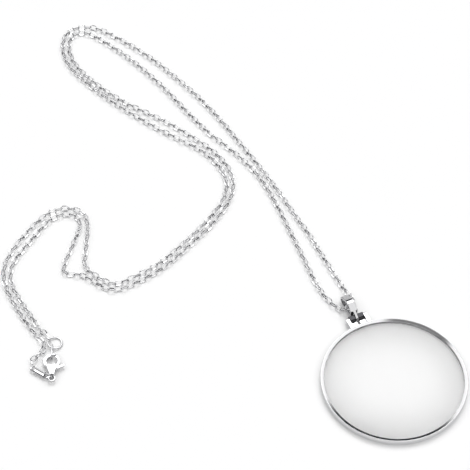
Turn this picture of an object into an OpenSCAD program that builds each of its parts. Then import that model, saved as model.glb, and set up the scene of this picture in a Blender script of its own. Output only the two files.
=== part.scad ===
// Magnifier pendant on a long cable chain, lying on a table.
// Millimetres, +Z up, +Y away from the viewer, origin in the middle of the footprint at table height.

/* [Rim and lens] */
// Outer diameter of the rim
rim_d = 47.3; // [46.8:0.1:49]
// Height of the rim
rim_h = 2.2; // [2:0.1:2.8]
// Clear width of the lens inside the rim's lips
sight_d = 45; // [44:0.1:45.2]
// How far the lens reaches under the lips
lens_seat = 0.4; // [0.3:0.1:0.5]
// Radius that rounds the rim's outer edges
rim_round = 0.5; // [0.3:0.05:0.6]
// Thickness of the lens at its edge
lens_edge = 0.8; // [0.7:0.1:1]
// Height of the lens's dome over its edge
dome_h = 2.2; // [1:0.1:2.6]

/* [Hinge] */
// Height of the hinge pin's axis over the table
pin_h = 1.5; // [1.4:0.05:1.6]
// Radius of the hinge pin
pin_r = 0.4; // [0.3:0.05:0.5]
// Distance from the middle of the lens to the hinge pin
pin_reach = 26.7; // [26.5:0.1:27]
// Direction of the hinge from the middle of the lens, degrees from +X
hinge_turn = 114.5; // [113.5:0.1:115.5]
// Width of a dark hinge block along the pin
block_w = 2.1; // [1.5:0.1:2.3]
// Side of a hinge block's square section
block_s = 1.9; // [1.6:0.1:2]
// Gap between the two hinge blocks
block_gap = 1.0; // [0.9:0.05:1.3]
// Width of each arm that holds the pin beyond a block
arm_w = 1; // [0.6:0.1:1.2]

/* [Bail] */
// Width of the bail's band
bail_w = 2.5; // [2:0.1:2.8]
// Width of the bail's tongue between the hinge blocks
tongue_w = 0.84; // [0.7:0.02:0.9]
// Thickness of the bail's band
bail_t = 0.6; // [0.5:0.05:0.7]
// Height of the bail's loop
bail_h = 4.9; // [4.4:0.1:5.2]
// Reach of the bail's loop from the hinge pin
bail_reach = 9.4; // [9:0.1:9.6]

/* [Chain] */
// Width of the cable chain
chain_w = 1.7; // [1.5:0.05:1.8]

/* [Clasp] */
// Thickness of the claw's base
claw_h = 2.4; // [2.2:0.1:2.8]
// Outer radius of the claw's hook
hook_r = 2.9; // [2.7:0.1:3.1]
// Radius of the opening inside the hook
jaw_r = 1.7; // [1.5:0.05:1.8]
// Thickness of the hook
hook_t = 1.2; // [1:0.1:1.4]
// Thickness of the lever
lever_t = 0.8; // [0.6:0.05:0.9]
// Middle radius of the end ring
ring_r = 2.3; // [2:0.1:2.6]
// Radius of the end ring's wire
ring_wire = 0.3; // [0.2:0.05:0.35]
// Length of the curved connector tab
tab_l = 7; // [6.6:0.1:7.2]
// Width of the connector tab
tab_w = 2; // [1.8:0.1:2.4]
// Thickness of the connector tab
tab_t = 0.4; // [0.3:0.05:0.5]

/* [Hidden] */
$fn = 96;

silver = [0.86, 0.87, 0.88];
dark = [0.16, 0.16, 0.17];
glass = [0.90, 0.93, 0.95, 0.5];
chain_grey = [0.78, 0.79, 0.80];

// Small gap between pieces that touch, and the pin's running gap in the bail's tongue.
seam = 0.05;
pin_play = 0.05;
// Cut-outs run this far past the faces that they cut.
over = 1;

// The rim.
rim_r = rim_d / 2;
sight_r = sight_d / 2;
seat_r = sight_r + lens_seat;
groove_gap = 0.1;
lens_z = 0.8;
// The rim's top falls by this much from its rounded edge in to its lip.
lip_fall = 0.14;
lip_bevel = 0.06;

// The chain lies from this far left of the lens to this far behind it, which places the lens.
chain_left_end = 128.9;
chain_far_end = 160.3;
chain_r = chain_w / 2;
lens_x = (chain_left_end + chain_r - rim_r) / 2;
lens_y = (rim_r - chain_far_end - chain_r) / 2;

// Centre lines of the two strands, x, y and z from the middle of the lens, from the bail to the clasp.
strand_sides = 8;
L = chain_r;
left_route = [
    [-13.35, 29.07, 1.7], [-13.9, 28.2, 1.75], [-14.55, 27.45, 1.7], [-15.4, 27.4, 1.5], [-16.3, 28.1, 1.2],
    [-17.5, 29.3, L],
    [-20.5, 32.6, L], [-23.9, 39.2, L], [-28.5, 51.6, L], [-35.2, 69.6, L], [-39.0, 79.0, L],
    [-43.3, 87.2, L], [-50.7, 96.6, L], [-59.9, 106.1, L], [-66.9, 114.8, L], [-77.3, 128.9, L],
    [-88.3, 141.6, L], [-99.9, 152.4, L], [-105.2, 156.2, L], [-108.6, 157.3, L], [-111.4, 156.4, L],
    [-113.0, 153.9, L], [-113.2, 149.6, L], [-111.9, 144.0, L], [-108.9, 138.5, L], [-100.3, 128.9, L],
    [-90.3, 120.9, L], [-75.3, 111.4, L], [-62.3, 101.2, L], [-56.1, 94.5, L], [-52.7, 88.2, L],
    [-51.7, 81.8, L], [-52.9, 75.5, L], [-57.2, 67.1, L], [-65.5, 56.4, L], [-75.3, 45.6, L],
    [-84.3, 39.2, L], [-89.7, 36.6, L], [-93.7, 36.8, L], [-99.7, 40.7, L], [-103.9, 42.8, L],
    [-107.3, 42.9, L], [-108.8, 44.6, L], [-108.5, 47.8, L], [-105.6, 57.6, L], [-104.3, 63.4, L],
    [-104.7, 66.6, L], [-107.3, 68.6, L], [-111.0, 68.6, L], [-114.9, 66.1, L], [-120.2, 58.0, L],
    [-125.2, 49.4, L], [-126.6, 44.2, L], [-125.8, 38.8, L], [-122.0, 31.3, L], [-117.5, 24.1, L],
    [-113.9, 18.8, L], [-111.9, 16.6, L],
];
right_route = [
    [-13.3, 29.15, 1.7], [-12.75, 30.05, 1.7], [-12.1, 31.05, 1.6], [-11.9, 32.2, 1.4], [-12.5, 33.6, 1.1],
    [-13.7, 35.0, L], [-16.7, 40.8, L], [-20.9, 49.6, L], [-25.5, 59.6, L], [-30.9, 69.6, L],
    [-36.1, 79.6, L], [-41.5, 89.2, L], [-50.1, 103.0, L], [-57.3, 114.4, L], [-64.8, 124.6, L],
    [-73.5, 134.6, L], [-83.3, 144.8, L], [-95.3, 154.6, L], [-102.3, 159.0, L], [-106.9, 160.3, L],
    [-110.9, 159.7, L], [-113.9, 157.4, L], [-115.5, 153.4, L], [-115.5, 149.0, L], [-114.1, 143.4, L],
    [-110.9, 137.6, L], [-101.5, 127.1, L], [-91.5, 118.3, L], [-76.7, 107.2, L], [-63.3, 98.4, L],
    [-57.9, 92.5, L], [-54.9, 87.2, L], [-53.9, 82.0, L], [-54.9, 76.2, L], [-59.1, 68.2, L],
    [-67.4, 57.4, L], [-76.9, 47.2, L], [-85.3, 41.4, L], [-90.1, 39.0, L], [-93.1, 39.1, L],
    [-98.5, 42.8, L], [-100.9, 44.8, L], [-101.8, 48.0, L], [-101.7, 56.6, L], [-101.6, 63.6, L],
    [-102.5, 67.6, L], [-105.5, 70.6, L], [-109.7, 71.5, L], [-113.7, 70.4, L], [-117.7, 67.0, L],
    [-123.3, 59.2, L], [-127.8, 50.2, L], [-128.9, 44.4, L], [-128.1, 38.7, L], [-124.7, 31.4, L],
    [-120.2, 23.7, L], [-116.0, 17.7, L], [-113.7, 15.0, L], [-113.1, 12.8, L], [-113.9, 10.7, L],
    [-115.5, 9.1, L], [-116.6, 7.5, L], [-116.7, 6.4, L],
];

// The bail's profile: circles at the tongue, the crown and the far end, as distance, height and radius.
tongue_r = 1.15;
crown_r = bail_h / 2;
far_r = 1.6;
crown_reach = 4.6;
outer_circles = [[0, pin_h, tongue_r], [crown_reach, crown_r, crown_r], [bail_reach - far_r, far_r, far_r]];
inner_circles = [[2.2, 2.0, 0.3], [crown_reach, crown_r, crown_r - bail_t],
                 [bail_reach - far_r, far_r, far_r - bail_t]];
// The band widens from the tongue between these two distances from the pin.
flare_start = 1.35;
flare_end = 1.55;

// Places of the clasp's pieces, from the middle of the lens.
jaw_at = [-110.2, 7.1];
eyelet_at = [-109.8, 0.6];
pivot_at = [-108.9, 4.3];
ring_at = [-109.75, 14.8];
tab_at = [-114.0, 3.1];
tab_turn = -33;

// The claw: a hook over a thicker base that narrows to an eyelet.
eyelet_r = 1.25;
eyelet_hole = 0.78;
eyelet_t = 0.7;
tip_angle = 62;
gate_end = -32;
gate_tip = 52;
lever_w = 0.8;
lever_gap = 0.1;
nub_reach = 2.9;
nub_turn = 27;
pivot_r = 0.3;
pivot_play = 0.05;
lever_swing = 12;
claw_mid = claw_h / 2;

// Upright link between the hook and the end ring.
link_wire = 0.22;
link_r = 1.05;
link_straight = 3.4;
link_at = [-110.35, 10.7, link_r + link_wire];
// The end ring rests on the two links that pass under it, and leans down to the table at one side.
ring_rest = 0.85;
ring_spread = 115;
ring_turn = 25;
ring_drop = (ring_rest - ring_wire) / (1 - cos(ring_spread));
ring_lean = asin(ring_drop / ring_r);
ring_z = ring_wire + ring_drop;

// Upright jump ring between the eyelet and the tab.
jump_wire = 0.2;
jump_r = 1.45;
jump_at = [-111.1, 1.25];
jump_turn = -28.5;

// The tab is a strip bent to a trough of this radius, held just over the table by the rings.
tab_bend = 2.2;
tab_z = 0.5;
tab_hole = 0.68;
tab_hole_at = 2.5;

// Puts a piece that is drawn round the middle of the lens in its place.
module at_lens() { translate([lens_x, lens_y, 0]) children(); }

// Turns a piece drawn along +X, with +Z up, to point from the lens to the hinge, with the pin at its origin.
module at_hinge() {
    at_lens() rotate([0, 0, hinge_turn]) translate([pin_reach, 0, 0]) children();
}

// A flat outline in distance and height, given a width across the hinge.
module across(w) {
    translate([0, w / 2, 0]) rotate([90, 0, 0]) linear_extrude(w) children();
}

// Points of an arc from angle a to angle b on the circle c, given as distance, height and radius.
function arc(c, a, b, steps) =
    [for (i = [0 : steps]) let (t = a + (b - a) * i / steps) [c[0] + c[2] * cos(t), c[1] + c[2] * sin(t)]];

// Angle at which a band round circles a and b leaves circle a, on its upper or lower side.
function leave(a, b, side) =
    atan2(b[1] - a[1], b[0] - a[0]) + side * acos((a[2] - b[2]) / norm([b[0] - a[0], b[1] - a[1]]));

// Outline of a band stretched round three circles in a row.
function band_outline(c) =
    concat(arc(c[0], leave(c[0], c[1], 1), 360 + leave(c[0], c[1], -1), 16),
           arc(c[1], leave(c[0], c[1], -1), leave(c[1], c[2], -1), 4),
           arc(c[2], leave(c[1], c[2], -1), leave(c[1], c[2], 1), 16),
           arc(c[1], leave(c[1], c[2], 1), leave(c[0], c[1], 1), 8));

// Outline of a band stretched round two circles.
function pair_outline(a, b) =
    concat(arc(a, leave(a, b, 1), 360 + leave(a, b, -1), 16), arc(b, leave(a, b, -1), leave(a, b, 1), 16));

// The rim's section: a rounded outer wall, and a top that falls slightly to the lip, with a groove inside.
module rim_section() {
    mid = rim_r - rim_round;
    difference() {
        polygon(concat([[sight_r, lip_bevel], [sight_r + lip_bevel, 0]],
                       arc([mid, rim_round, rim_round], -90, 0, 5),
                       arc([mid, rim_h - rim_round, rim_round], 0, 90, 7),
                       [[sight_r + lip_bevel, rim_h - lip_fall], [sight_r, rim_h - lip_fall - lip_bevel]]));
        translate([sight_r - over, lens_z - groove_gap])
            square([over + lens_seat + groove_gap, lens_edge + 2.5 * groove_gap]);
    }
}

// Rim with the two arms that hold the hinge pin, and a lug between each arm and the gap in the middle.
module rim() {
    arm_h = 1.6;
    arm_root = rim_r - 0.4;
    arm_v = block_gap / 2 + block_w + seam + arm_w / 2;
    lug_w = block_w + seam + arm_w / 2;
    lug_h = 0.6;
    lug_end = pin_reach - block_s / 2 - 2 * seam;
    color(silver) {
        at_lens() rotate_extrude($fn = 160) rim_section();
        at_hinge() for (side = [-1, 1]) translate([0, side * arm_v, pin_h]) difference() {
            union() {
                translate([arm_root - pin_reach, -arm_w / 2, -arm_h / 2]) cube([pin_reach - arm_root, arm_w, arm_h]);
                rotate([90, 0, 0]) cylinder(r = arm_h / 2, h = arm_w, center = true);
                // low lug in front of the block
                translate([arm_root - pin_reach, side > 0 ? -lug_w : 0, -arm_h / 2])
                    cube([lug_end - arm_root, lug_w, lug_h]);
            }
            rotate([90, 0, 0]) cylinder(r = pin_r + seam / 2, h = arm_w + over, center = true);
        }
    }
}

// Lens with a domed front, a flat back and a square edge in the rim's groove.
module lens() {
    dome_r = (pow(seat_r, 2) + pow(dome_h, 2)) / (2 * dome_h);
    color(glass) at_lens() translate([0, 0, lens_z]) rotate_extrude($fn = 128) intersection() {
        square([seat_r, lens_edge + dome_h]);
        translate([0, lens_edge + dome_h - dome_r]) circle(dome_r, $fn = 360);
    }
}

// One of the two dark square blocks on the pin.
module hinge_block(side) {
    chamfer = 0.2;
    h = block_s / 2;
    c = h - chamfer;
    color(dark) at_hinge()
        translate([0, side * (block_gap + block_w) / 2, pin_h]) difference() {
            across(block_w)
                polygon([[-h, -c], [-c, -h], [c, -h], [h, -c], [h, c], [c, h], [-c, h], [-h, c]]);
            rotate([90, 0, 0]) cylinder(r = pin_r + seam / 2, h = block_w + 2 * over, center = true);
        }
}

module hinge_block_left() { hinge_block(1); }
module hinge_block_right() { hinge_block(-1); }

module hinge_pin() {
    color(silver) at_hinge() translate([0, 0, pin_h]) rotate([90, 0, 0])
        cylinder(r = pin_r, h = block_gap + 2 * (block_w + seam + arm_w) - 0.1, center = true);
}

// Closed band with a narrow tongue on the pin.
module bail() {
    t = tongue_w / 2;
    w = bail_w / 2;
    far = bail_reach + over;
    near = -tongue_r - over;
    color(silver) at_hinge() difference() {
        intersection() {
            across(bail_w) difference() {
                polygon(band_outline(outer_circles));
                polygon(band_outline(inner_circles));
            }
            translate([0, 0, -over]) linear_extrude(bail_h + 2 * over)
                polygon([[near, -t], [flare_start, -t], [flare_end, -w], [far, -w],
                         [far, w], [flare_end, w], [flare_start, t], [near, t]]);
        }
        translate([0, 0, pin_h]) rotate([90, 0, 0]) cylinder(r = pin_r + pin_play, h = bail_w + over, center = true);
    }
}

// Unit vector along a, and the direction of the route at its point i.
function unit(a) = a / norm(a);
function heading(route, i) = unit(route[min(i + 1, len(route) - 1)] - route[max(i - 1, 0)]);

// Ring of points square to the route, with flats below, above and at the sides.
function ring(route, i) =
    let (t = heading(route, i),
         s = unit(cross(t, [0, 0, 1])),
         u = cross(s, t),
         r = chain_r / cos(180 / strand_sides))
    [for (k = [0 : strand_sides - 1])
        let (a = (k + 0.5) * 360 / strand_sides) route[i] + r * (cos(a) * s + sin(a) * u)];

// Solid outline of one strand of chain, swept along its route.
module strand(route) {
    n = len(route);
    m = strand_sides;
    points = [for (i = [0 : n - 1]) each ring(route, i)];
    sides = [for (i = [0 : n - 2]) for (k = [0 : m - 1])
        let (a = i * m + k, b = i * m + (k + 1) % m)
        each [[a, a + m, b], [b, a + m, b + m]]];
    ends = [[for (k = [0 : m - 1]) k], [for (k = [m - 1 : -1 : 0]) (n - 1) * m + k]];
    at_lens() polyhedron(points, concat(sides, ends), convexity = 20);
}

module chain_left() { color(chain_grey) strand(left_route); }
module chain_right() { color(chain_grey) strand(right_route); }

// Round wire ring lying flat round the origin.
module wire_ring(r, wire) {
    rotate_extrude() translate([r, 0]) circle(wire, $fn = 24);
}

module end_ring() {
    color(silver) at_lens() translate([ring_at[0], ring_at[1], ring_z])
        rotate([0, ring_lean, ring_turn]) wire_ring(ring_r, ring_wire);
}

// Upright oval link that holds the end ring in the hook.
module connecting_link() {
    half = link_straight / 2;
    color(silver) at_lens() translate(link_at) rotate([0, 0, 90]) rotate([90, 0, 0]) {
        for (end = [-1, 1])
            translate([end * half, 0, 0]) rotate([0, 0, -90 * end])
                rotate_extrude(angle = 180) translate([link_r, 0]) circle(link_wire, $fn = 24);
        for (side = [-1, 1])
            translate([-half, side * link_r, 0]) rotate([0, 90, 0])
                cylinder(r = link_wire, h = link_straight, $fn = 24);
    }
}

// Stretch of a flat ring between two angles, round the origin.
module ring_stretch(r_in, r_out, from, to, h) {
    steps = ceil((to - from) / 60);
    far = r_out * 2;
    linear_extrude(h) intersection() {
        difference() { circle(r_out); circle(r_in); }
        polygon(concat([[0, 0]], [for (i = [0 : steps])
            let (a = from + (to - from) * i / steps) [far * cos(a), far * sin(a)]]));
    }
}

// Cheeks of the claw's base in plan, from the hook's foot down to the eyelet.
module base_outline() {
    shift = eyelet_at - jaw_at;
    difference() {
        union() {
            polygon([[-1.75, -1.9], [1.95, -1.7], [shift[0] + 0.7, shift[1] + 0.85], [shift[0] - 0.7, shift[1] + 0.85]]);
            translate([0.1, -2.3]) circle(1.35);
        }
        circle(jaw_r);
        translate(shift) circle(eyelet_hole + 0.25);
    }
}

// Flat wedge that the lever's tip sweeps inside the hook's nose.
module lever_sweep() {
    mid_r = (jaw_r + hook_r) / 2;
    pivot = pivot_at - jaw_at;
    tip = [mid_r * cos(gate_tip), mid_r * sin(gate_tip)] - pivot;
    reach = norm(tip) + lever_w / 2 + lever_gap;
    start = atan2(tip[1], tip[0]);
    translate(pivot) intersection() {
        circle(reach);
        polygon([[0, 0], for (a = [-20, 0, lever_swing + 8]) 3 * reach * [cos(start + a), sin(start + a)]]);
    }
}

module clasp_body() {
    shift = eyelet_at - jaw_at;
    pivot = pivot_at - jaw_at;
    color(silver) at_lens() translate([jaw_at[0], jaw_at[1], 0]) difference() {
        union() {
            translate([0, 0, claw_mid - hook_t / 2])
                ring_stretch(jaw_r, hook_r, tip_angle, 260, hook_t);
            linear_extrude(claw_h) base_outline();
            translate([shift[0], shift[1], claw_mid - eyelet_t / 2]) cylinder(r = eyelet_r, h = eyelet_t);
            translate([pivot[0], pivot[1], 0]) cylinder(r = 0.75, h = claw_h);
        }
        translate([shift[0], shift[1], -over]) cylinder(r = eyelet_hole, h = claw_h + 2 * over);
        // recess inside the hook's nose, where the lever's tip travels
        translate([0, 0, claw_mid - hook_t / 2 - over]) linear_extrude(hook_t + 2 * over) intersection() {
            lever_sweep();
            translate([-over, 0]) square(2 * hook_r);
        }
        // slot for the lever, open to the hook's opening and to the outside
        difference() {
            translate([0, 0, claw_mid - lever_t / 2 - lever_gap]) linear_extrude(lever_t + 2 * lever_gap)
                translate(pivot) union() {
                    circle(1.15);
                    polygon([[0, -0.75], [4, -0.75], [4, 5], [-2.6, 5], [-0.8, 0]]);
                }
            translate([0, 0, claw_mid - hook_t / 2 - over])
                ring_stretch(jaw_r, hook_r + over, tip_angle, 235, hook_t + 2 * over);
            translate([pivot[0], pivot[1], 0]) cylinder(r = pivot_r, h = claw_h);
        }
    }
}

// Sprung gate of the claw with its thumb nub, closed.
module clasp_lever() {
    mid_r = (jaw_r + hook_r) / 2;
    pivot = pivot_at - jaw_at;
    foot = mid_r * [cos(gate_end), sin(gate_end)];
    tip = mid_r * [cos(gate_tip), sin(gate_tip)];
    nub = pivot + nub_reach * [cos(nub_turn), sin(nub_turn)];
    color(silver) at_lens() translate([jaw_at[0], jaw_at[1], claw_mid - lever_t / 2]) difference() {
        union() {
            ring_stretch(mid_r - lever_w / 2, mid_r + lever_w / 2, gate_end, gate_tip, lever_t);
            translate(tip) cylinder(r = lever_w / 2, h = lever_t);
            linear_extrude(lever_t) union() {
                polygon(pair_outline([foot[0], foot[1], lever_w / 2], [pivot[0], pivot[1], 0.65]));
                polygon(pair_outline([pivot[0], pivot[1], 0.5], [nub[0], nub[1], 0.42]));
            }
        }
        translate([pivot[0], pivot[1], -over]) cylinder(r = pivot_r + pivot_play, h = lever_t + 2 * over);
    }
}

// Upright jump ring between the claw's eyelet and the tab.
module clasp_ring() {
    color(silver) at_lens() translate([jump_at[0], jump_at[1], jump_r + 1.2 * jump_wire])
        rotate([0, 0, jump_turn]) rotate([90, 0, 0]) wire_ring(jump_r, jump_wire);
}

// Strip bent to a shallow trough, with round ends and a hole at each end.
module connector_tab() {
    color(silver) at_lens() translate([tab_at[0], tab_at[1], tab_z]) rotate([0, 0, tab_turn])
        intersection() {
            translate([0, 0, tab_bend]) rotate([0, 90, 0]) difference() {
                cylinder(r = tab_bend, h = tab_l + over, center = true);
                cylinder(r = tab_bend - tab_t, h = tab_l + 2 * over, center = true);
            }
            linear_extrude(tab_bend) difference() {
                union() {
                    square([tab_l - tab_w, tab_w], center = true);
                    for (end = [-1, 1]) translate([end * (tab_l - tab_w) / 2, 0]) circle(tab_w / 2);
                }
                for (end = [-1, 1]) translate([end * tab_hole_at, 0]) circle(tab_hole);
            }
        }
}

rim();
lens();
hinge_block_left();
hinge_block_right();
hinge_pin();
bail();
chain_left();
chain_right();
end_ring();
connecting_link();
clasp_body();
clasp_lever();
clasp_ring();
connector_tab();
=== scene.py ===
# %% [markdown]
# # A magnifier pendant on its chain
# The object is a round lens in a polished frame. Two dark blocks and a bail join it to a long cable chain,
# which lies doubled on a white table. The pieces could be drawn by eye, but here the solid model is loaded
# first as a fixed frame. Every visible piece is then built where its solid stands, so sizes stay true.

# %% Load the frame
import math

import bmesh
import bpy
import numpy as np
from mathutils import Matrix, Vector


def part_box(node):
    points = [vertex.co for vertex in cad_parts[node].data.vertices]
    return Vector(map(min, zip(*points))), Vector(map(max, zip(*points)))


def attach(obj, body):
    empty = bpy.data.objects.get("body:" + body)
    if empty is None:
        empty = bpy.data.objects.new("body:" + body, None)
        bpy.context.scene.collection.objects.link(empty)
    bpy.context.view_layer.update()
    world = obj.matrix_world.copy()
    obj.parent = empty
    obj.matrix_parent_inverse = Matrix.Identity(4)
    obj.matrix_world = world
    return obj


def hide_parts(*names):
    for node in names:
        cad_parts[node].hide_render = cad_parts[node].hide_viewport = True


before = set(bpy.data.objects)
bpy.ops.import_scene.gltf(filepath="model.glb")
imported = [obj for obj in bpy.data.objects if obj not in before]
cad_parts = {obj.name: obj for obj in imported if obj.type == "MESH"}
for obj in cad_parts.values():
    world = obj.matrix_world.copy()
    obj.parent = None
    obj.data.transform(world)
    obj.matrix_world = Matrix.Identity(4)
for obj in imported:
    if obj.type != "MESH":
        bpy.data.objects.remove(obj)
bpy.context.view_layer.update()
MM = 0.001

# %% [markdown]
# ## One place to measure from
# A jeweller measures a pendant from its stone. All places below are in millimetres from the middle of the
# lens in the same way. They could be typed in metres of the frame, but then each number would hide what it
# means. One helper turns them into the frame's metres.

# %% Places
low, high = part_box("lens")
LENS_X, LENS_Y = (low.x + high.x) / 2 / MM, (low.y + high.y) / 2 / MM


def place(x, y, z):
    return Vector((x + LENS_X, y + LENS_Y, z)) * MM


print("middle of the lens:", round(LENS_X, 3), round(LENS_Y, 3))

# %% [markdown]
# ## The camera
# The photograph looks down on the table from the front. The rim is a circle that it shows as an ellipse,
# whose flatness gives the camera's angle, and the way the chain shrinks with distance gives the lens. Both
# could be set by eye. They were worked out, because a wrong angle can't be hidden by anything else.

# %% Camera
SENSOR_WIDTH, FOCAL_LENGTH = 36, 132.13
CAMERA_PLACE = (-50.98, -308.19, 462.84)
LOOKS_DOWN = 51.47
NEAREST_SEEN = 0.01

camera_data = bpy.data.cameras.new("camera")
camera_data.sensor_width = SENSOR_WIDTH
camera_data.lens = FOCAL_LENGTH
camera_data.clip_start = NEAREST_SEEN
camera = bpy.data.objects.new("camera", camera_data)
camera.location = place(*CAMERA_PLACE)
camera.rotation_euler = (math.radians(90 - LOOKS_DOWN), 0, 0)
bpy.context.scene.collection.objects.link(camera)
bpy.context.scene.camera = camera
bpy.context.scene.view_settings.view_transform = "Standard"
print("camera at", [round(v, 3) for v in camera.location])

# %% [markdown]
# ## Light
# Polished metal shows its surroundings. Small silver pieces are photographed on a white table under a soft
# white tent, with a darker room round the table. So metal is white where it faces up, and has dark lines
# where it shows the horizon. Area lamps could light the table too, but metal would show their square
# edges. A world shader makes the tent instead: dark low down, white from a set height up.

# %% Tent colours
HORIZON_END, TENT_START = 0.44, 0.54
DARK_ROOM, WHITE_CLOTH = (0.03, 0.03, 0.035, 1), (1.0, 1.0, 1.0, 1)

world = bpy.data.worlds.new("light_tent")
bpy.context.scene.world = world
world.use_nodes = True
nodes, links = world.node_tree.nodes, world.node_tree.links
nodes.clear()
out = nodes.new("ShaderNodeOutputWorld")
background = nodes.new("ShaderNodeBackground")
direction = nodes.new("ShaderNodeTexCoord")
height = nodes.new("ShaderNodeSeparateXYZ")
ramp = nodes.new("ShaderNodeValToRGB")
ramp.color_ramp.interpolation = "EASE"
ramp.color_ramp.elements[0].position = HORIZON_END
ramp.color_ramp.elements[0].color = DARK_ROOM
ramp.color_ramp.elements[1].position = TENT_START
ramp.color_ramp.elements[1].color = WHITE_CLOTH
links.new(direction.outputs["Generated"], height.inputs["Vector"])
links.new(height.outputs["Z"], ramp.inputs["Fac"])
links.new(ramp.outputs["Color"], background.inputs["Color"])
links.new(background.outputs["Background"], out.inputs["Surface"])
print("tent starts at", round(math.degrees(math.asin(TENT_START))), "degrees over the horizon")

# %% [markdown]
# ## The softbox and the gap overhead
# A tent has an opening for the camera, which is a darker patch overhead, and a lamp behind its cloth makes
# one part of it brighter. The lens shows that brighter part as a pale glow. Real lamps would need a mesh
# each. Two patches in the world shader are simpler, and they have no edge that the metal could show. The
# edges below are cosines of the angle from a patch's middle, where it starts and where it is full.

# %% Tent patches
TENT_LIGHT = 1.24
OVERHEAD, OVERHEAD_LIGHT, OVERHEAD_EDGES = (-0.19, -0.03, 0.974), 0.2, (0.93, 0.97)
SOFTBOX, SOFTBOX_LIGHT, SOFTBOX_EDGES = (0.07, 0.54, 0.84), 4.1, (0.93, 1.0)


def patch_towards(direction_to, value, edges):
    """Factor that is one all round, and changes smoothly to a value near one direction."""
    facing = nodes.new("ShaderNodeVectorMath")
    facing.operation = "DOT_PRODUCT"
    facing.inputs[1].default_value = Vector(direction_to).normalized()
    patch = nodes.new("ShaderNodeMapRange")
    patch.interpolation_type = "SMOOTHSTEP"
    patch.inputs["From Min"].default_value = edges[0]
    patch.inputs["From Max"].default_value = edges[1]
    patch.inputs["To Min"].default_value = 1.0
    patch.inputs["To Max"].default_value = value
    links.new(direction.outputs["Generated"], facing.inputs[0])
    links.new(facing.outputs["Value"], patch.inputs["Value"])
    return patch.outputs["Result"]


both = nodes.new("ShaderNodeMath")
both.operation = "MULTIPLY"
links.new(patch_towards(OVERHEAD, OVERHEAD_LIGHT, OVERHEAD_EDGES), both.inputs[0])
links.new(patch_towards(SOFTBOX, SOFTBOX_LIGHT, SOFTBOX_EDGES), both.inputs[1])
strength = nodes.new("ShaderNodeMath")
strength.operation = "MULTIPLY"
strength.inputs[1].default_value = TENT_LIGHT
links.new(both.outputs["Value"], strength.inputs[0])
links.new(strength.outputs["Value"], background.inputs["Strength"])
print("softbox is", SOFTBOX_LIGHT, "times as bright as the tent")

# %% [markdown]
# ## The table
# The necklace lies on plain white board. A large flat sheet is enough, as nothing on it has a shape of its
# own. It is almost dull, so that it takes the soft shadows and shows no second picture of the pendant.

# %% Table
TABLE_REACH, TABLE_DROP = 3, 0.00002
TABLE_WHITE, TABLE_ROUGHNESS, TABLE_GLOSS = (0.93, 0.93, 0.93, 1), 0.9, 0.1

corners = [(x * TABLE_REACH, y * TABLE_REACH, 0) for x, y in ((-1, -1), (1, -1), (1, 1), (-1, 1))]
table_mesh = bpy.data.meshes.new("table")
table_mesh.from_pydata(corners, [], [(0, 1, 2, 3)])
table = bpy.data.objects.new("table", table_mesh)
table.location.z = -TABLE_DROP
bpy.context.scene.collection.objects.link(table)
table_paint = bpy.data.materials.new("table_paint")
table_paint.use_nodes = True
table_shader = table_paint.node_tree.nodes["Principled BSDF"]
table_shader.inputs["Base Color"].default_value = TABLE_WHITE
table_shader.inputs["Roughness"].default_value = TABLE_ROUGHNESS
table_shader.inputs["Specular IOR Level"].default_value = TABLE_GLOSS
table_mesh.materials.append(table_paint)
print("table laid,", 2 * TABLE_REACH, "metres wide")

# %% [markdown]
# ## Wear on polished metal
# Plated pieces are never perfectly even: soft clouds of handling marks change how sharp the reflection is,
# and hairlines bend it a little. Each material could have its own copy of that network. One shared node
# group was chosen, because then each metal places it with its own values and a change reaches them all.

# %% Wear group
CLOUD_DETAIL, HAIR_DETAIL = 3, 2
HAIR_STRETCH, HAIR_TURN, HAIR_RELIEF = (1.0, 9.0, 3.0), (0.2, 0.1, 0.6), 0.00001


def socket(group, name, in_out, kind, value=None):
    made = group.interface.new_socket(name=name, in_out=in_out, socket_type=kind)
    if value is not None:
        made.default_value = value


def build_wear_group():
    group = bpy.data.node_groups.new("polish_wear", "ShaderNodeTree")
    socket(group, "Roughness", "INPUT", "NodeSocketFloat", 0.1)
    socket(group, "Clouding", "INPUT", "NodeSocketFloat", 0.05)
    socket(group, "Mark Scale", "INPUT", "NodeSocketFloat", 200.0)
    socket(group, "Hairline Depth", "INPUT", "NodeSocketFloat", 0.05)
    socket(group, "Roughness", "OUTPUT", "NodeSocketFloat")
    socket(group, "Normal", "OUTPUT", "NodeSocketVector")
    n, k = group.nodes, group.links
    inside, outside = n.new("NodeGroupInput"), n.new("NodeGroupOutput")
    where = n.new("ShaderNodeTexCoord")
    clouds = n.new("ShaderNodeTexNoise")
    clouds.inputs["Detail"].default_value = CLOUD_DETAIL
    stretch = n.new("ShaderNodeMapping")
    stretch.inputs["Scale"].default_value = HAIR_STRETCH
    stretch.inputs["Rotation"].default_value = HAIR_TURN
    hairs = n.new("ShaderNodeTexNoise")
    hairs.inputs["Detail"].default_value = HAIR_DETAIL
    spread = n.new("ShaderNodeMath")
    spread.operation = "MULTIPLY_ADD"
    bump = n.new("ShaderNodeBump")
    bump.inputs["Distance"].default_value = HAIR_RELIEF
    k.new(where.outputs["Object"], clouds.inputs["Vector"])
    k.new(inside.outputs["Mark Scale"], clouds.inputs["Scale"])
    k.new(where.outputs["Object"], stretch.inputs["Vector"])
    k.new(stretch.outputs["Vector"], hairs.inputs["Vector"])
    k.new(inside.outputs["Mark Scale"], hairs.inputs["Scale"])
    k.new(clouds.outputs["Fac"], spread.inputs[0])
    k.new(inside.outputs["Clouding"], spread.inputs[1])
    k.new(inside.outputs["Roughness"], spread.inputs[2])
    k.new(hairs.outputs["Fac"], bump.inputs["Height"])
    k.new(inside.outputs["Hairline Depth"], bump.inputs["Strength"])
    k.new(spread.outputs["Value"], outside.inputs["Roughness"])
    k.new(bump.outputs["Normal"], outside.inputs["Normal"])
    return group


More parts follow.
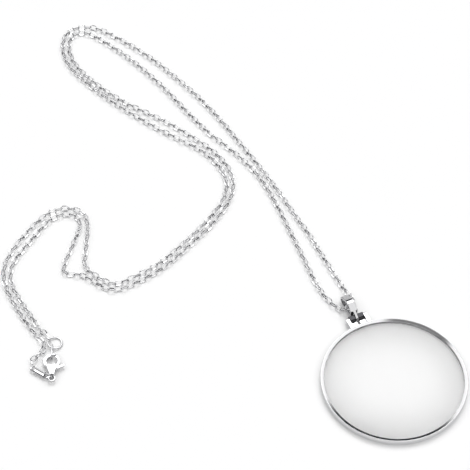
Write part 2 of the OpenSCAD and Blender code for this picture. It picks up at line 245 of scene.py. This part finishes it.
wear_group = build_wear_group()
print("wear group sockets:", [s.name for s in wear_group.interface.items_tree])

# %% [markdown]
# ## Metals
# The rim, the fittings and the chain are silver-tone plate, and the two hinge blocks are much darker, like
# gunmetal. One metal for all would be less work, but the photograph shows the pieces apart. They differ in
# how bright they are and how sharply they are polished, so each gets its own values in the same recipe.

# %% Metals
def metal(name, colour, roughness, clouding, mark_scale, hairline):
    made = bpy.data.materials.new(name)
    made.use_nodes = True
    tree = made.node_tree
    shader = tree.nodes["Principled BSDF"]
    shader.inputs["Base Color"].default_value = (*colour, 1)
    shader.inputs["Metallic"].default_value = 1.0
    wear = tree.nodes.new("ShaderNodeGroup")
    wear.node_tree = wear_group
    wear.inputs["Roughness"].default_value = roughness
    wear.inputs["Clouding"].default_value = clouding
    wear.inputs["Mark Scale"].default_value = mark_scale
    wear.inputs["Hairline Depth"].default_value = hairline
    tree.links.new(wear.outputs["Roughness"], shader.inputs["Roughness"])
    tree.links.new(wear.outputs["Normal"], shader.inputs["Normal"])
    return made


rim_metal = metal("rim_silver", (0.76, 0.76, 0.77),
                  roughness=0.06, clouding=0.08, mark_scale=180, hairline=0.05)
fitting_metal = metal("fitting_silver", (0.6, 0.6, 0.61),
                      roughness=0.10, clouding=0.10, mark_scale=500, hairline=0.08)
chain_metal = metal("chain_silver", (0.72, 0.72, 0.73),
                    roughness=0.10, clouding=0.10, mark_scale=600, hairline=0.10)
dark_metal = metal("dark_gunmetal", (0.035, 0.035, 0.038),
                   roughness=0.22, clouding=0.12, mark_scale=500, hairline=0.06)
print("metals:", [m.name for m in (rim_metal, fitting_metal, chain_metal, dark_metal)])

# %% [markdown]
# ## Glass
# The lens is clear glass with a domed front. A grey plastic look could be painted on a plain disc. Real
# refraction was chosen, because it bends the white table under the lens and so gives its soft grey shading,
# and it magnifies the chain when the pendant is turned up.

# %% Glass
GLASS_TINT, GLASS_IOR = (0.97, 0.97, 0.97, 1), 1.5

lens_glass = bpy.data.materials.new("lens_glass")
lens_glass.use_nodes = True
glass_shader = lens_glass.node_tree.nodes["Principled BSDF"]
glass_shader.inputs["Base Color"].default_value = GLASS_TINT
glass_shader.inputs["Roughness"].default_value = 0.0
glass_shader.inputs["IOR"].default_value = GLASS_IOR
glass_shader.inputs["Transmission Weight"].default_value = 1.0
print("glass bends light by an index of", GLASS_IOR)

# %% [markdown]
# ## One way to add a piece
# Every piece of the object needs a mesh, a metal, the body that it moves with and the solid that it stands
# for. Those lines could be repeated for each piece. One helper does them all, so none can be forgotten.

# %% Adding a piece
def add_piece(name, verts, faces, material, body, replaced, smooth=True):
    mesh = bpy.data.meshes.new(name)
    mesh.from_pydata([tuple(v) for v in verts], [], [tuple(f) for f in faces])
    mesh.validate()
    checked = bmesh.new()
    checked.from_mesh(mesh)
    bmesh.ops.recalc_face_normals(checked, faces=checked.faces)
    checked.to_mesh(mesh)
    checked.free()
    mesh.materials.append(material)
    if smooth:
        mesh.polygons.foreach_set("use_smooth", [True] * len(mesh.polygons))
    made = bpy.data.objects.new(name, mesh)
    bpy.context.scene.collection.objects.link(made)
    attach(made, body)
    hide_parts(*replaced)
    return made


print("pieces are added with", len(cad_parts), "solids to replace")

# %% [markdown]
# ## Turned pieces
# A rim and a lens are made on a lathe: one section goes round an axis. Blender has a modifier for that, but
# plain points let the section close on itself, as the rim's does, or end at the axis, as the lens's does.

# %% Turning
def turned(profile, steps, on_axis):
    """Verts and faces of a profile of (radius, height) points turned round the lens's axis."""
    profile = np.array(profile)
    angles = np.arange(steps) * 2 * math.pi / steps
    verts, faces = [], []
    for r, z in profile:
        verts += [place(r * math.cos(a), r * math.sin(a), z) for a in angles]
    rows = len(profile)
    for i in range(rows if not on_axis else rows - 1):
        a, b = i * steps, ((i + 1) % rows) * steps
        faces += [(a + k, a + (k + 1) % steps, b + (k + 1) % steps, b + k) for k in range(steps)]
    if on_axis:
        faces += [tuple(range(steps))[::-1], tuple(range((rows - 1) * steps, rows * steps))]
    return verts, faces


def arc(centre, radius, start, end, steps):
    turn = np.radians(np.linspace(start, end, steps + 1))
    return [(centre[0] + radius * math.cos(a), centre[1] + radius * math.sin(a)) for a in turn]


print("a quarter circle in 3 steps:", [(round(x, 2), round(y, 2)) for x, y in arc((0, 0), 1, 0, 90, 3)])

# %% [markdown]
# ## The rim
# Its section is a low bar with rounded outer edges and a groove inside for the lens. The narrow top slopes
# gently down to the lens. A copy of the solid would do for the shape, but its facets would show as dark
# steps in polished metal. So the section is drawn again, and turned in many small steps.

# %% Rim section
RIM_R, RIM_H, SIGHT_R, SEAT_R = 23.65, 2.2, 22.5, 23.0
ROUND, TOP_FALL, LIP = 0.22, 0.3, 0.06
GROOVE_LOW, GROOVE_HIGH = 0.7, 1.75
LOW_ROUND_STEPS, TOP_ROUND_STEPS, RIM_STEPS = 9, 12, 256


def rim_profile():
    middle = RIM_R - ROUND
    wall = arc((middle, ROUND), ROUND, -90, 0, LOW_ROUND_STEPS)
    wall += arc((middle, RIM_H - ROUND), ROUND, 0, 90, TOP_ROUND_STEPS)
    lip = [(SIGHT_R + LIP, RIM_H - TOP_FALL), (SIGHT_R, RIM_H - TOP_FALL - LIP)]
    groove = [(SIGHT_R, GROOVE_HIGH), (SEAT_R, GROOVE_HIGH), (SEAT_R, GROOVE_LOW), (SIGHT_R, GROOVE_LOW)]
    return [(SIGHT_R, LIP), (SIGHT_R + LIP, 0.0)] + wall + lip + groove


rim_verts, rim_faces = turned(rim_profile(), RIM_STEPS, False)
print("rim section:", len(rim_profile()), "points, turned in", RIM_STEPS, "steps")

# %% [markdown]
# ## The hinge's arms and lugs
# Two arms are soldered to the rim and hold the hinge pin in round eyes, with a low lug beside each. The
# holes could be cut with a boolean. The outline with its hole is filled and drawn out instead, which leaves
# clean round edges. All of it joins the rim's mesh, because soldered metal is one piece.

# %% Hinge arms
HINGE_TURN = math.radians(114.5)
PIN_REACH, PIN_HEIGHT = 26.7, 1.5
ARM_W, ARM_H, ARM_ROOT, ARM_ACROSS, EYE_R = 1.0, 1.6, 23.25, 3.15, 0.42
END_STEPS, EYE_STEPS = 16, 20


def at_hinge(along, across, up):
    """Place given as distance from the pin away from the lens, distance along the pin, and height."""
    c, s = math.cos(HINGE_TURN), math.sin(HINGE_TURN)
    return place((PIN_REACH + along) * c - across * s, (PIN_REACH + along) * s + across * c, up)


def hinge_arm(side):
    """A strip from the rim to the pin with a round end, and the pin's hole through it."""
    outline = [(ARM_ROOT - PIN_REACH, ARM_H / 2), (ARM_ROOT - PIN_REACH, -ARM_H / 2)]
    outline += arc((0, 0), ARM_H / 2, -90, 90, END_STEPS)
    hole = arc((0, 0), EYE_R, 180, -180, EYE_STEPS)[:-1]
    near, far = (side * ARM_ACROSS - ARM_W / 2, side * ARM_ACROSS + ARM_W / 2)
    mesh = bmesh.new()
    loops = []
    for points in (outline, hole):
        loops.append([mesh.verts.new(at_hinge(u, near, PIN_HEIGHT + z)) for u, z in points])
    edges = [mesh.edges.new((loop[i], loop[(i + 1) % len(loop)]))
             for loop in loops for i in range(len(loop))]
    face = bmesh.ops.triangle_fill(mesh, use_beauty=True, edges=edges)
    flat = [g for g in face["geom"] if isinstance(g, bmesh.types.BMFace)]
    grown = bmesh.ops.extrude_face_region(mesh, geom=flat)
    moved = [g for g in grown["geom"] if isinstance(g, bmesh.types.BMVert)]
    bmesh.ops.translate(mesh, verts=moved, vec=at_hinge(0, far, 0) - at_hinge(0, near, 0))
    mesh.verts.index_update()
    verts = [v.co.copy() for v in mesh.verts]
    faces = [[v.index for v in f.verts] for f in mesh.faces]
    mesh.free()
    return verts, faces


print("hinge pin at", [round(v / MM, 2) for v in at_hinge(0, 0, PIN_HEIGHT)], "mm")

# %% Lugs and the whole rim
LUG_START, LUG_END, LUG_TOP = 0.5, 25.65, 1.3


def box_at_hinge(corner_low, corner_high):
    """Verts and faces of a box given by two corners, each along, across and up from the hinge pin."""
    u, v, w = zip(corner_low, corner_high)
    verts = [at_hinge(u[i], v[j], w[k]) for k in (0, 1) for i, j in ((0, 0), (1, 0), (1, 1), (0, 1))]
    return verts, [(0, 3, 2, 1), (4, 5, 6, 7), (0, 1, 5, 4), (1, 2, 6, 5), (2, 3, 7, 6), (3, 0, 4, 7)]


for side in (-1, 1):
    lug = box_at_hinge((ARM_ROOT - PIN_REACH, side * LUG_START, PIN_HEIGHT - ARM_H / 2),
                       (LUG_END - PIN_REACH, side * ARM_ACROSS, LUG_TOP))
    for verts, faces in (hinge_arm(side), lug):
        rim_faces += [tuple(len(rim_verts) + i for i in f) for f in faces]
        rim_verts += verts
rim = add_piece("rim_frame", rim_verts, rim_faces, rim_metal, "pendant", ["rim"])
print("rim faces:", len(rim_faces))

# %% [markdown]
# ## Soft edges
# No edge of a polished piece is perfectly sharp: each has a fine round that catches the light. It could be
# modelled by hand. A bevel modifier with an angle limit finds the sharp edges by itself and leaves the flat
# faces flat. Edges under the crease angle are shaded as one smooth surface.

# %% Soft edges
RIM_CREASE, RIM_SOFT = 14, 0.07


def soften(piece, width, segments=2, angle=30):
    """Rounds the sharp edges of a piece and keeps its flat faces flat."""
    bevel = piece.modifiers.new("soft_edges", "BEVEL")
    bevel.width = width * MM
    bevel.segments = segments
    bevel.limit_method = "ANGLE"
    bevel.angle_limit = math.radians(angle)
    bevel.harden_normals = True


rim.data.set_sharp_from_angle(angle=math.radians(RIM_CREASE))
soften(rim, RIM_SOFT)
print("rim's edges rounded by", RIM_SOFT, "mm")

# %% [markdown]
# ## The lens
# The front is a shallow dome, taken as part of a large sphere, and the back is flat. The edge sits in the
# rim's groove. A scaled sphere would look much the same, but only a true arc bends light as a lens does. At
# the axis the dome ends in a tiny flat disc, because a point there would leave a dark speck.

# %% Lens
LENS_R, LENS_LOW, LENS_EDGE, DOME = 22.88, 0.8, 0.8, 2.2
TIP_R, LENS_CHAMFER, ARC_END = 0.02, 0.05, 89.99
DOME_STEPS, LENS_STEPS, LENS_CREASE = 24, 192, 20

dome_r = (LENS_R**2 + DOME**2) / (2 * DOME)
reach = math.degrees(math.asin(LENS_R / dome_r))
lens_section = [(TIP_R, LENS_LOW), (LENS_R - LENS_CHAMFER, LENS_LOW), (LENS_R, LENS_LOW + LENS_CHAMFER)]
lens_section += arc((0, LENS_LOW + LENS_EDGE + DOME - dome_r), dome_r, 90 - reach, ARC_END, DOME_STEPS)
lens_verts, lens_faces = turned(lens_section, LENS_STEPS, True)
lens = add_piece("lens_dome", lens_verts, lens_faces, lens_glass, "pendant", ["lens"])
lens.data.set_sharp_from_angle(angle=math.radians(LENS_CREASE))
print("dome radius", round(dome_r, 1), "mm")

# %% [markdown]
# ## Cut pieces
# The hinge blocks, the pin and the connector tab are cut from bar and sheet, and their solids have the right
# shape already. They could be shown as they are, but a solid's mesh has long thin triangles that spoil a
# bevel. So each is copied, cleaned of them, and its edges are rounded a little.

# %% Cut pieces
WELD, FLAT_ANGLE = 0.002, 0.5


def dressed(node, name, material, body, width, segments=2, smooth_angle=35):
    mesh = bmesh.new()
    mesh.from_mesh(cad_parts[node].data)
    bmesh.ops.remove_doubles(mesh, verts=mesh.verts, dist=WELD * MM)
    bmesh.ops.dissolve_limit(mesh, angle_limit=math.radians(FLAT_ANGLE), verts=mesh.verts, edges=mesh.edges)
    verts = [v.co.copy() for v in mesh.verts]
    mesh.verts.index_update()
    faces = [[v.index for v in f.verts] for f in mesh.faces]
    mesh.free()
    made = add_piece(name, verts, faces, material, body, [node])
    made.data.set_sharp_from_angle(angle=math.radians(smooth_angle))
    if width:
        soften(made, width, segments, smooth_angle)
    print(name, len(faces), "faces")
    return made


dressed("hinge_block_left", "block_left", dark_metal, "pendant", 0.12, 3)
dressed("hinge_block_right", "block_right", dark_metal, "pendant", 0.12, 3)
dressed("hinge_pin", "pin", fitting_metal, "pendant", 0.06)

# %% [markdown]
# ## Cast pieces
# The bail and the two parts of the claw are cast, and then tumbled with small stones until no edge is left.
# A bevel can't do that where many short edges meet. A fine even mesh that is smoothed a few times wears
# every edge down together, as the stones do, so that was chosen. Each piece keeps its solid's place.

# %% Cast pieces
def tumble(piece, grain, rounds):
    """Rounds a cast piece all over: a fine even mesh with a given grain, smoothed in a few rounds."""
    even = piece.modifiers.new("even_mesh", "REMESH")
    even.mode = "VOXEL"
    even.voxel_size = grain * MM
    even.use_smooth_shade = True
    worn = piece.modifiers.new("worn", "SMOOTH")
    worn.factor = 0.5
    worn.iterations = rounds


tumble(dressed("bail", "bail_loop", fitting_metal, "necklace", 0), 0.06, 12)
tumble(dressed("clasp_body", "claw", fitting_metal, "necklace", 0), 0.07, 22)
tumble(dressed("clasp_lever", "claw_lever", fitting_metal, "lever", 0), 0.06, 10)
dressed("connector_tab", "tab", fitting_metal, "necklace", 0.08, smooth_angle=40)

# %% [markdown]
# ## Wire rings and links
# A ring or a link is a wire bent round a closed path. The path is an oval: two half circles joined by two
# straight sides, and a plain ring is an oval with no straight part. Blender's ring shape could be squeezed
# to an oval, but its wire would be squeezed too. The wire has few sides, as a fine wire needs no more.

# %% Wire shapes
ROUND_ENOUGH = 1e-6


def oval_path(length, width, steps):
    """Points of an oval in its own plane, long side along x, and the direction out of the oval at each."""
    r = width / 2
    straight = (length - width) / 2
    points, outward = [], []
    for end in (1, -1):
        for a in np.linspace(-90, 90, steps // 2):
            turn = math.radians(a) if end == 1 else math.radians(a + 180)
            outward.append((math.cos(turn), math.sin(turn), 0))
            points.append((end * straight + r * math.cos(turn), r * math.sin(turn), 0))
    return np.array(points), np.array(outward)


def wire_oval(length, width, wire, steps, sides, roll=0.0):
    """Vertices and faces of a wire oval, centred on the origin."""
    path, outward = oval_path(length, width, steps)
    if length - width < ROUND_ENOUGH:
        keep = [i for i in range(len(path)) if i != steps // 2 and i != steps - 1]
        path, outward = path[keep], outward[keep]
    count = len(path)
    turn = (np.arange(sides) + roll) * 2 * math.pi / sides
    up = np.array([0, 0, 1.0])
    verts = (path[:, None] + wire / 2 * (np.cos(turn)[None, :, None] * outward[:, None]
             + np.sin(turn)[None, :, None] * up)).reshape(-1, 3)
    faces = []
    for i in range(count):
        j = (i + 1) % count
        faces += [(i * sides + k, j * sides + k, j * sides + (k + 1) % sides, i * sides + (k + 1) % sides)
                  for k in range(sides)]
    return verts, faces


print("a ring of 12 steps has", len(wire_oval(2, 2, 0.2, 12, 8)[0]), "vertices with 8 sides")

# %% [markdown]
# ## The rings by the clasp
# The end ring leans on the chain's first link with one side on the table. The oval link joins it to the
# claw's hook, and the claw's own ring stands upright in its eyelet. The lean could be guessed. It is worked
# out from how high the chain lies where the ring crosses it, so that the ring rests on what carries it.

# %% Rings by the clasp
TUBE_R = 0.85
RING_AT, RING_R, RING_WIRE, RING_TURN = (-109.75, 14.8), 2.3, 0.6, 25
CROSSES_AT = 115
LINK_AT, LINK_LENGTH, OVAL_WIDTH, OVAL_WIRE = (-110.35, 10.7, 1.27), 5.5, 2.1, 0.44
CLAW_RING_AT, CLAW_RING_WIDTH, CLAW_RING_WIRE, CLAW_RING_TURN = (-111.1, 1.25, 1.69), 2.9, 0.4, -28.5


def wire_piece(name, shape, turn, centre, replaced):
    verts, faces = shape
    turned_verts = [place(*(Vector(centre) + turn @ Vector(v))) for v in verts]
    add_piece(name, turned_verts, faces, fitting_metal, "necklace", replaced)


def spin(axis, degrees):
    return Matrix.Rotation(math.radians(degrees), 3, axis)


ring_drop = (TUBE_R - RING_WIRE / 2) / (1 - math.cos(math.radians(CROSSES_AT)))
ring_lean = math.degrees(math.asin(ring_drop / RING_R))
wire_piece("end_ring_wire", wire_oval(2 * RING_R, 2 * RING_R, RING_WIRE, 50, 12),
           spin("Z", RING_TURN) @ spin("Y", ring_lean), (*RING_AT, RING_WIRE / 2 + ring_drop), ["end_ring"])
wire_piece("joining_link", wire_oval(LINK_LENGTH, OVAL_WIDTH, OVAL_WIRE, 36, 10),
           spin("Z", 90) @ spin("X", 90), LINK_AT, ["connecting_link"])
wire_piece("claw_ring", wire_oval(CLAW_RING_WIDTH, CLAW_RING_WIDTH, CLAW_RING_WIRE, 42, 10),
           spin("Z", CLAW_RING_TURN) @ spin("X", 90), CLAW_RING_AT, ["clasp_ring"])
print("end ring leans", round(ring_lean, 1), "degrees")

# %% [markdown]
# ## The route of the chain
# The chain was laid down by hand, so no rule gives its path. It could be left to fall in a simulation, but
# that would never land as it did here. So its route is read from the picture as a few places, the same ones
# that shape the solid tubes, in the two strands from the bail to the clasp.

# %% Route
L = TUBE_R
left_route = [
    (-13.35, 29.07, 1.7), (-13.9, 28.2, 1.75), (-14.55, 27.45, 1.7), (-15.4, 27.4, 1.5),
    (-16.3, 28.1, 1.2), (-17.5, 29.3, L), (-20.5, 32.6, L), (-23.9, 39.2, L), (-28.5, 51.6, L),
    (-35.2, 69.6, L), (-39.0, 79.0, L), (-43.3, 87.2, L), (-50.7, 96.6, L), (-59.9, 106.1, L),
    (-66.9, 114.8, L), (-77.3, 128.9, L), (-88.3, 141.6, L), (-99.9, 152.4, L), (-105.2, 156.2, L),
    (-108.6, 157.3, L), (-111.4, 156.4, L), (-113.0, 153.9, L), (-113.2, 149.6, L), (-111.9, 144.0, L),
    (-108.9, 138.5, L), (-100.3, 128.9, L), (-90.3, 120.9, L), (-75.3, 111.4, L), (-62.3, 101.2, L),
    (-56.1, 94.5, L), (-52.7, 88.2, L), (-51.7, 81.8, L), (-52.9, 75.5, L), (-57.2, 67.1, L),
    (-65.5, 56.4, L), (-75.3, 45.6, L), (-84.3, 39.2, L), (-89.7, 36.6, L), (-93.7, 36.8, L),
    (-99.7, 40.7, L), (-103.9, 42.8, L), (-107.3, 42.9, L), (-108.8, 44.6, L), (-108.5, 47.8, L),
    (-105.6, 57.6, L), (-104.3, 63.4, L), (-104.7, 66.6, L), (-107.3, 68.6, L), (-111.0, 68.6, L),
    (-114.9, 66.1, L), (-120.2, 58.0, L), (-125.2, 49.4, L), (-126.6, 44.2, L), (-125.8, 38.8, L),
    (-122.0, 31.3, L), (-117.5, 24.1, L), (-113.9, 18.8, L), (-111.28, 16.08, 1.0),
]
right_route = [
    (-12.75, 30.05, 1.7), (-12.1, 31.05, 1.6), (-11.9, 32.2, 1.4), (-12.5, 33.6, 1.1), (-13.7, 35.0, L),
    (-16.7, 40.8, L), (-20.9, 49.6, L), (-25.5, 59.6, L), (-30.9, 69.6, L), (-36.1, 79.6, L),
    (-41.5, 89.2, L), (-50.1, 103.0, L), (-57.3, 114.4, L), (-64.8, 124.6, L), (-73.5, 134.6, L),
    (-83.3, 144.8, L), (-95.3, 154.6, L), (-102.3, 159.0, L), (-106.9, 160.3, L), (-110.9, 159.7, L),
    (-113.9, 157.4, L), (-115.5, 153.4, L), (-115.5, 149.0, L), (-114.1, 143.4, L), (-110.9, 137.6, L),
    (-101.5, 127.1, L), (-91.5, 118.3, L), (-76.7, 107.2, L), (-63.3, 98.4, L), (-57.9, 92.5, L),
    (-54.9, 87.2, L), (-53.9, 82.0, L), (-54.9, 76.2, L), (-59.1, 68.2, L), (-67.4, 57.4, L),
    (-76.9, 47.2, L), (-85.3, 41.4, L), (-90.1, 39.0, L), (-93.1, 39.1, L), (-98.5, 42.8, L),
    (-100.9, 44.8, L), (-101.8, 48.0, L), (-101.7, 56.6, L), (-101.6, 63.6, L), (-102.5, 67.6, L),
    (-105.5, 70.6, L), (-109.7, 71.5, L), (-113.7, 70.4, L), (-117.7, 67.0, L), (-123.3, 59.2, L),
    (-127.8, 50.2, L), (-128.9, 44.4, L), (-128.1, 38.7, L), (-124.7, 31.4, L), (-120.2, 23.7, L),
    (-116.0, 17.7, L), (-113.7, 15.0, L), (-113.1, 12.8, L), (-113.9, 10.7, L), (-115.5, 9.1, L),
    (-116.6, 7.5, L), (-116.28, 5.03, 1.0),
]
print("places on the route:", len(left_route), "and", len(right_route))

# %% [markdown]
# ## A smooth curve through the places
# A chain bends evenly from link to link. Straight stretches between the places would show as corners, and a
# common smooth curve swings out where two places are close together. This one takes the distance between
# them into account, so it turns sharp bends without a swing. Its length is then the chain's length.

# %% Smooth curve
CURVE_STEPS = 24


def between(start, end, t_start, t_end, t):
    """Point at t on the line that is at start when t is t_start, and at end when t is t_end."""
    return start * (t_end - t) / (t_end - t_start) + end * (t - t_start) / (t_end - t_start)


def smooth_curve(points):
    """A curve through the points that doesn't swing out at sharp turns."""
    p = np.array(points, float)
    p = np.vstack([2 * p[0] - p[1], p, 2 * p[-1] - p[-2]])
    curve = []
    for i in range(1, len(p) - 2):
        q = p[i - 1:i + 3]
        t = np.concatenate([[0], np.cumsum(np.sqrt(np.linalg.norm(np.diff(q, axis=0), axis=1)))])
        for s in np.linspace(t[1], t[2], CURVE_STEPS, endpoint=False):
            a = [between(q[j], q[j + 1], t[j], t[j + 1], s) for j in range(3)]
            b = [between(a[j], a[j + 1], t[j], t[j + 2], s) for j in range(2)]
            curve.append(between(b[0], b[1], t[1], t[2], s))
    curve.append(p[-2])
    return np.array(curve)


curve = smooth_curve(left_route[::-1] + right_route)
steps = np.linalg.norm(np.diff(curve, axis=0), axis=1)
along = np.concatenate([[0], np.cumsum(steps)])
print("chain length", round(along[-1]), "mm")

# %% [markdown]
# ## Where the links join
# Each link reaches from one joint to the next, a fixed step apart along the curve. The photograph gives that
# step. A modifier could repeat one link along a curve, but it would not say where each joint is. The chain
# rests a little higher than the tube's middle, because its links stand on their edges, and it rises over the
# last few links to meet the rings by the clasp.

# %% Joints between links
PITCH = 2.25
LINK_REST, END_REST, RISE_KEPT = 0.88, 1.05, 0.75
TURNING = 6


def link_heights(z):
    """Height of the links' middle where the tube's middle is at z."""
    return LINK_REST + (z - TUBE_R) * RISE_KEPT


count = int(round(along[-1] / PITCH))
count += 1 - count % 2
pitch = along[-1] / count
joints = np.stack([np.interp(np.arange(count + 1) * pitch, along, curve[:, i]) for i in range(3)], axis=1)
joints[:, 2] = link_heights(joints[:, 2])
for k in range(TURNING):
    rise = (END_REST - LINK_REST) * (1 - k / TURNING)
    joints[[k, count - k], 2] += rise
bail_x, bail_y, bail_z = left_route[0]
split = int(np.argmin(np.linalg.norm(joints - [bail_x, bail_y, link_heights(bail_z)], axis=1)))
print(count, "links, a step of", round(pitch, 3), "mm")

# %% [markdown]
# ## The links
# Each link is a short oval of wire. Its neighbours pass through it at right angles, so the links stand
# turned one way and the other along the chain, with a little play. A picture of links on the tube would
# look flat from the side, so every link is built by itself. The wire is cut flat on six sides, which gives
# the small sharp glints of a diamond-cut chain.

# %% Links
LINK_WIRE, LINK_WIDTH, WIRE_STEPS, WIRE_SIDES = 0.42, 2.1, 14, 6
STAND, PLAY, MOST_PLAY, PLAY_SEED = 45, 6, 8, 7

rng = np.random.default_rng(PLAY_SEED)
roll_jitter = np.clip(rng.normal(0, PLAY, count), -MOST_PLAY, MOST_PLAY)
link_verts, link_faces = wire_oval(pitch + LINK_WIRE, LINK_WIDTH - LINK_WIRE, LINK_WIRE,
                                   WIRE_STEPS, WIRE_SIDES, roll=0.5)


def link_at(i):
    """Vertices of link i, in metres."""
    middle = (joints[i] + joints[i + 1]) / 2
    ahead = joints[i + 1] - joints[i]
    ahead /= np.linalg.norm(ahead)
    side = np.cross([0, 0, 1], ahead)
    side /= np.linalg.norm(side)
    above = np.cross(ahead, side)
    from_end = min(i, count - 1 - i)
    turning = max(0.0, 1 - from_end / TURNING)
    turn = math.radians(STAND + (90 - STAND) * turning + roll_jitter[i] * (1 - turning) + 90 * (i % 2))
    across = math.cos(turn) * side + math.sin(turn) * above
    normal = np.cross(ahead, across)
    local = link_verts @ np.stack([ahead, across, normal])
    return (local + middle + [LENS_X, LENS_Y, 0]) * MM


def strand(name, first, last, node):
    verts = np.concatenate([link_at(i) for i in range(first, last)])
    size = len(link_verts)
    faces = [tuple(v + n * size for v in f) for n in range(last - first) for f in link_faces]
    add_piece(name, verts.tolist(), faces, chain_metal, "necklace", [node], smooth=False)
    print(name, last - first, "links", 2 * len(faces), "triangles")


strand("chain_left_links", 0, split, "chain_left")
strand("chain_right_links", split, count, "chain_right")
